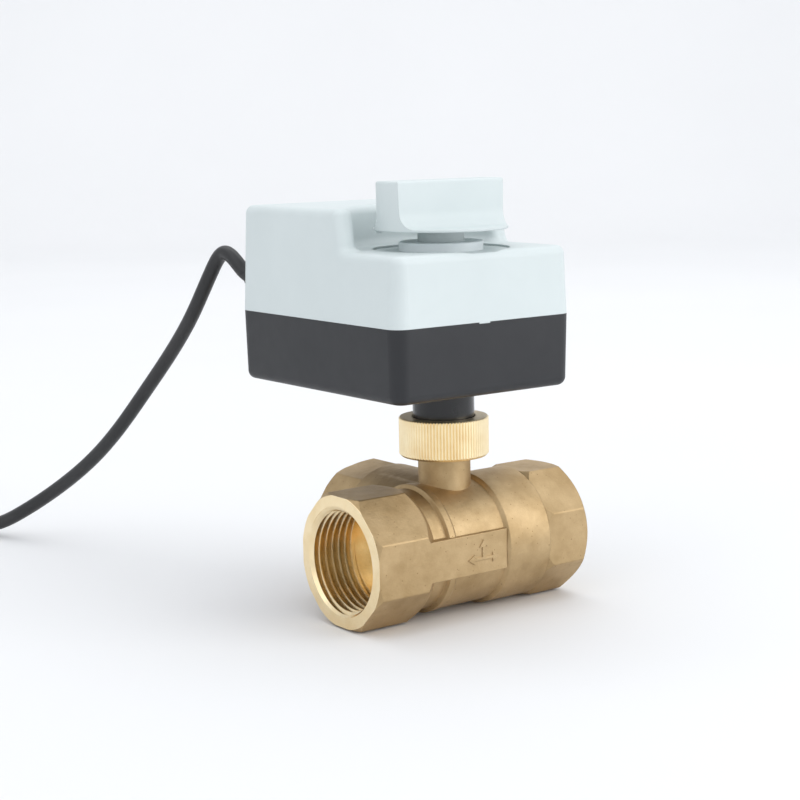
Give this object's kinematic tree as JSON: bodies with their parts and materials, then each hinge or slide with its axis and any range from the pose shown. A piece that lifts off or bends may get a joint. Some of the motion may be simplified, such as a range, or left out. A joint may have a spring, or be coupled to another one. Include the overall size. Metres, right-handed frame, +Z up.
{
  "type": "motorised three-way zone valve",
  "caption": "Motorised three-way brass ball valve: threaded tee body, knurled union nut and a geared electric actuator with manual knob and cable.",
  "frame": {"origin": "centre of the mouth of the first run port, on the run's axis", "axes": "+X along the run from the first port to the second, +Y towards the branch port, +Z up the stem to the knob"},
  "size_m": [0.1449, 0.2658, 0.1307],
  "materials": {
    "black_gloss": "black nylon",
    "black_plastic": "charcoal moulded plastic, fine texture",
    "blue_plastic": "blue moulded plastic",
    "brass_casting": "sand-cast brass, machined faces",
    "cable_black": "black PVC sheath",
    "chromed_ball": "hard chromed brass",
    "copper": "bare and enamelled copper",
    "dial_grey": "blue-grey moulded plastic",
    "gear_plastic": "natural acetal",
    "green_board": "lacquered glass fibre board",
    "grey_plastic": "pale grey moulded plastic",
    "machined_brass": "turned brass",
    "magnet": "sintered ferrite",
    "ptfe": "white low-friction plastic",
    "seal_rubber": "black rubber",
    "steel": "turned and zinc-plated steel",
    "wire_colours": "coloured PVC insulation"
  },
  "bodies": {
    "fixed": {"valve_body": "brass_casting", "run_end_cap": "brass_casting", "branch_end_cap": "brass_casting", "end_cap_seals": "seal_rubber", "ball_seats": "ptfe", "stem_washer": "ptfe", "mounting_collar": "black_gloss", "collar_screws": "steel", "base_housing": "black_plastic", "cover": "grey_plastic", "housing_screws": "steel", "idler_axle": "steel", "gear_plate": "steel", "plate_screws": "steel", "motor_case": "steel", "motor_coil": "copper", "motor_screws": "steel", "limit_switches": "black_gloss", "switch_terminals": "machined_brass", "switch_screws": "steel", "circuit_board": "green_board", "board_screws": "steel", "relay": "blue_plastic", "terminal_block": "blue_plastic", "terminal_screws": "steel", "capacitor": "grey_plastic", "cover_bush": "dial_grey", "cable_jacket": "cable_black", "cable_grommet": "seal_rubber", "cable_wires": "wire_colours", "bare_ends": "copper"},
    "ball": {"ball": "chromed_ball"},
    "stem": {"stem": "machined_brass", "stem_rings": "seal_rubber"},
    "nut": {"union_nut": "machined_brass"},
    "output": {"output_shaft": "gear_plastic", "output_gear": "gear_plastic", "limit_cam": "blue_plastic", "cam_clip": "steel", "knob_spring": "steel"},
    "idler": {"idler_gear": "gear_plastic"},
    "rotor": {"motor_rotor": "magnet", "motor_shaft": "steel", "motor_pinion": "machined_brass"},
    "left_button": {"left_switch_button": "gear_plastic"},
    "right_button": {"right_switch_button": "gear_plastic"},
    "knob": {"knob": "grey_plastic", "knob_clip": "steel"}
  },
  "joints": [
    {"name": "output_turn", "type": "hinge", "parent": "fixed", "child": "output", "pos_m": [0.0392, 0, 0.06], "axis": [0, 0, 1], "range_deg": [0, 90]},
    {"name": "stem_turn", "type": "hinge", "parent": "fixed", "child": "stem", "pos_m": [0.0392, 0, 0.03], "axis": [0, 0, 1], "range_deg": [0, 90]},
    {"name": "ball_turn", "type": "hinge", "parent": "fixed", "child": "ball", "pos_m": [0.0392, 0, 0], "axis": [0, 0, 1], "range_deg": [0, 90]},
    {"name": "idler_turn", "type": "hinge", "parent": "fixed", "child": "idler", "pos_m": [0.0392, 0.0224, 0.058], "axis": [0, 0, 1], "range_deg": [-330, 0]},
    {"name": "rotor_turn", "type": "hinge", "parent": "fixed", "child": "rotor", "pos_m": [0.0392, 0.0416, 0.07], "axis": [0, 0, 1], "range_deg": [0, 990]},
    {"name": "left_button_travel", "type": "slide", "parent": "fixed", "child": "left_button", "axis": [1, 0, 0], "range_m": [0, 0.0012]},
    {"name": "right_button_travel", "type": "slide", "parent": "fixed", "child": "right_button", "axis": [1, 0, 0], "range_m": [0, 0.0012]},
    {"name": "knob_push", "type": "slide", "parent": "output", "child": "knob", "axis": [0, 0, -1], "range_m": [0, 0.0025], "stiffness_N_per_m": 400, "deforming": ["knob_spring"]},
    {"name": "nut_spin", "type": "hinge", "parent": "fixed", "child": "nut", "pos_m": [0.0392, 0, 0.033], "axis": [0, 0, 1], "continuous": true}
  ],
  "couplings": [
    {"joint": "stem_turn", "follows": "output_turn", "ratio": 1},
    {"joint": "ball_turn", "follows": "output_turn", "ratio": 1},
    {"joint": "idler_turn", "follows": "output_turn", "ratio": -3.6667},
    {"joint": "rotor_turn", "follows": "output_turn", "ratio": 11},
    {"joint": "left_button_travel", "follows": "output_turn", "m_per_rad": 0.00076},
    {"joint": "right_button_travel", "follows": "output_turn", "m_per_rad": 0.00076}
  ]
}
